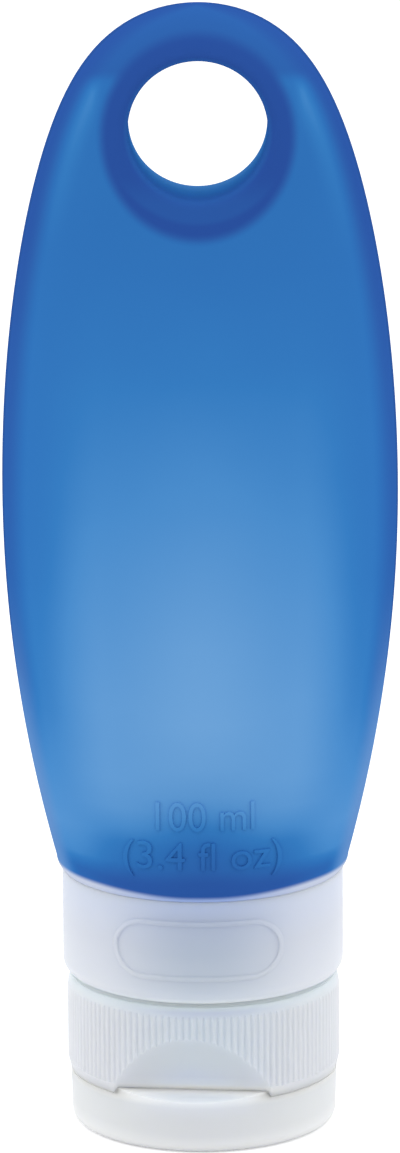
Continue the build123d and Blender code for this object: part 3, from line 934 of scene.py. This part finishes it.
def stage_material():
    """Plain white floor that keeps the object's shadow."""
    material, nodes = new_material("white_floor")
    diffuse = nodes.add("ShaderNodeBsdfDiffuse", {"Color": FLOOR_COLOUR})
    glow = nodes.add("ShaderNodeEmission", {"Strength": FLOOR_GLOW})
    lit = nodes.add("ShaderNodeAddShader", {0: diffuse.outputs[0], 1: glow.outputs[0]})
    seen = seen_directly(nodes)
    shown = nodes.add("ShaderNodeMixShader", {0: seen, 1: diffuse.outputs[0], 2: lit.outputs[0]})
    nodes.add("ShaderNodeOutputMaterial", {"Surface": shown.outputs[0]})
    return material


def add_lamp(name, place, target, size, power):
    """A square soft lamp that looks at the target."""
    data = bpy.data.lights.new(name, "AREA")
    data.shape = "SQUARE"
    data.size = size
    data.energy = power
    lamp = bpy.data.objects.new(name, data)
    lamp.location = place
    lamp.rotation_euler = (Vector(target) - Vector(place)).to_track_quat("-Z", "Y").to_euler()
    bpy.context.scene.collection.objects.link(lamp)


class BOTTLE_OT_stage(bpy.types.Operator):
    """Sets up the camera, the white floor and the soft light"""
    bl_idname = "bottle.stage"
    bl_label = "Camera, floor and light"

    def execute(self, context):
        settings = context.scene.bottle_stage
        camera_data = bpy.data.cameras.new("camera")
        camera_data.lens = settings.lens
        camera_data.clip_start, camera_data.clip_end = NEAREST, FURTHEST
        camera = bpy.data.objects.new("camera", camera_data)
        camera.location = (
            settings.camera_aside, -settings.camera_distance, settings.camera_height
        )
        look = Matrix.Rotation(pi / 2 - settings.camera_pitch, 4, "X")
        lean = Matrix.Rotation(-settings.camera_roll, 4, "Z")
        camera.rotation_euler = (look @ lean).to_euler()
        context.scene.collection.objects.link(camera)
        context.scene.camera = camera

        clear_selection()
        bpy.ops.mesh.primitive_plane_add(size=FLOOR_SIZE, location=FLOOR_MIDDLE)
        floor = bpy.context.object
        floor.name = "floor"
        bpy.ops.object.transform_apply()
        paint(floor, stage_material())

        for lamp in LAMPS:
            add_lamp(*lamp)

        world = bpy.data.worlds.new("even_light")
        context.scene.world = world
        world.use_nodes = True
        nodes = Nodes(world.node_tree)
        strength = nodes.mix_values(seen_directly(nodes), settings.world_level, 1.0)
        white = {"Color": (1, 1, 1, 1), "Strength": strength}
        background = nodes.add("ShaderNodeBackground", white)
        nodes.add("ShaderNodeOutputWorld", {"Surface": background.outputs[0]})
        context.scene.view_settings.view_transform = "Standard"
        return {"FINISHED"}


STEPS = (
    BOTTLE_OT_soft_body, BOTTLE_OT_figures, BOTTLE_OT_white_parts, BOTTLE_OT_living_hinge,
    BOTTLE_OT_inner_parts, BOTTLE_OT_stage,
)


class BOTTLE_PT_looks(bpy.types.Panel):
    """Lists the steps that dress the bottle"""
    bl_label = "Travel bottle"
    bl_idname = "BOTTLE_PT_looks"
    bl_space_type = "VIEW_3D"
    bl_region_type = "UI"
    bl_category = "Bottle"

    def draw(self, context):
        for step in STEPS:
            self.layout.operator(step.bl_idname)


SETTINGS = (
    ("bottle_body", BodySettings), ("bottle_figures", FigureSettings),
    ("bottle_hinge", HingeSettings), ("bottle_stage", StageSettings),
)
CLASSES = tuple(group for _, group in SETTINGS) + STEPS + (BOTTLE_PT_looks,)


def register():
    for made in CLASSES:
        bpy.utils.register_class(made)
    for name, group in SETTINGS:
        setattr(bpy.types.Scene, name, PointerProperty(type=group))


def unregister():
    for name, _ in SETTINGS:
        delattr(bpy.types.Scene, name)
    for made in reversed(CLASSES):
        bpy.utils.unregister_class(made)


def main():
    """Runs the steps in order."""
    register()
    bpy.ops.bottle.soft_body()
    bpy.ops.bottle.figures()
    bpy.ops.bottle.white_parts()
    bpy.ops.bottle.living_hinge()
    bpy.ops.bottle.inner_parts()
    bpy.ops.bottle.stage()


if __name__ == "__main__":
    main()
